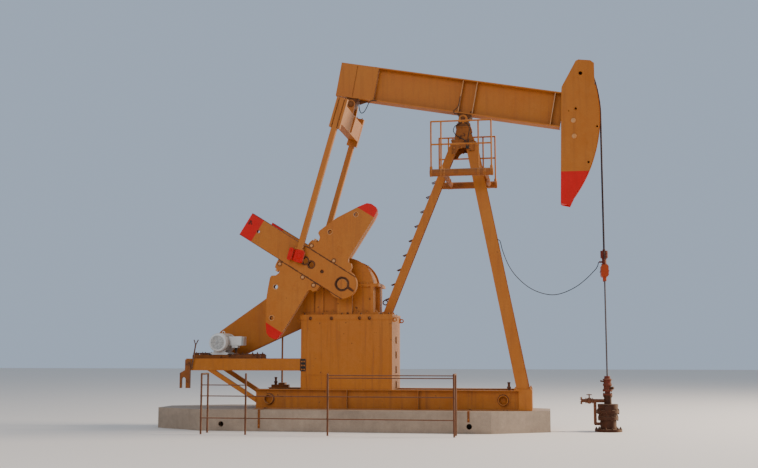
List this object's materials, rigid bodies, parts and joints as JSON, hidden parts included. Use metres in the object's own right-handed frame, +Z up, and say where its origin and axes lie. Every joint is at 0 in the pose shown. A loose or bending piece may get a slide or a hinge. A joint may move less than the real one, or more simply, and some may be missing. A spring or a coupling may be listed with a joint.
{
  "type": "crank-balanced beam pumping unit",
  "caption": "Oilfield pumpjack: a rocking beam with a horsehead, driven through pitmans by weighted cranks, on a tripod post and concrete base, with its wellhead.",
  "frame": {"origin": "ground level under the saddle bearing, on the middle plane of the unit", "axes": "+X towards the horsehead and the well, +Y across the unit away from the fenced side, +Z up"},
  "size_m": [9.5483, 3.0289, 7.7713],
  "materials": {
    "tan_paint": "weathered satin",
    "red_paint": "weathered satin",
    "white_paint": "satin",
    "rusted_steel": "rough",
    "bare_steel": "brushed",
    "concrete": "rough",
    "black_paint": "weathered satin",
    "black_rubber": "matt"
  },
  "bodies": {
    "base": {"concrete_base": "concrete", "hold_down_straps": "tan_paint", "skid_beams": "tan_paint", "skid_cross_members": "tan_paint", "pedestal_sides": "tan_paint", "pedestal_ends": "tan_paint", "pedestal_top": "tan_paint", "gear_case": "tan_paint", "gear_cover": "tan_paint", "belt_guard": "tan_paint", "guard_support": "rusted_steel", "motor": "white_paint", "motor_rails": "rusted_steel", "motor_platform": "tan_paint", "platform_crossbars": "tan_paint", "platform_brackets": "black_paint", "platform_braces": "tan_paint", "brake_lever": "rusted_steel", "front_legs": "tan_paint", "rear_leg": "tan_paint", "post_cap": "tan_paint", "saddle_bearings": "tan_paint", "work_platform": "tan_paint", "platform_cross_tubes": "tan_paint", "platform_railing": "tan_paint", "guard_fence": "rusted_steel", "fence_ends": "rusted_steel", "casing_head": "rusted_steel", "flow_outlet": "rusted_steel", "stuffing_box": "rusted_steel", "load_cell_cable": "black_rubber"},
    "cranks": {"crankshaft": "bare_steel", "crank_near": "tan_paint", "crank_far": "tan_paint", "weights_near": "tan_paint", "weights_far": "tan_paint", "wrist_pins": "bare_steel"},
    "beam": {"walking_beam": "tan_paint", "horsehead": "tan_paint", "saddle_shaft": "bare_steel", "tail_bearing": "tan_paint", "bridle_wrap": "bare_steel"},
    "pitman_frame": {"equalizer": "tan_paint", "equalizer_shaft": "bare_steel", "pitmans": "tan_paint", "wrist_bearings": "red_paint"},
    "rod_string": {"carrier_bar": "tan_paint", "polished_rod": "bare_steel", "rod_clamp": "black_paint", "bridle_ropes": "bare_steel"}
  },
  "joints": [
    {"name": "crank_turn", "type": "hinge", "parent": "base", "child": "cranks", "pos_m": [-2.44, 0, 2.945], "axis": [0, 1, 0], "continuous": true},
    {"name": "beam_rock", "type": "hinge", "parent": "base", "child": "beam", "pos_m": [0, 0, 6.4], "axis": [0, 1, 0], "range_deg": [-36.3, 16.7]},
    {"name": "pitman_swing", "type": "hinge", "parent": "beam", "child": "pitman_frame", "pos_m": [-2.40022, 0, 6.83879], "axis": [0, 1, 0], "range_deg": [-16.7, 36.3]},
    {"name": "rod_lift", "type": "slide", "parent": "base", "child": "rod_string", "axis": [0, 0, 1], "range_m": [-0.822, 1.786]}
  ],
  "couplings": [
    {"joint": "pitman_swing", "follows": "beam_rock", "ratio": -1},
    {"joint": "rod_lift", "follows": "beam_rock", "m_per_rad": -2.819}
  ]
}
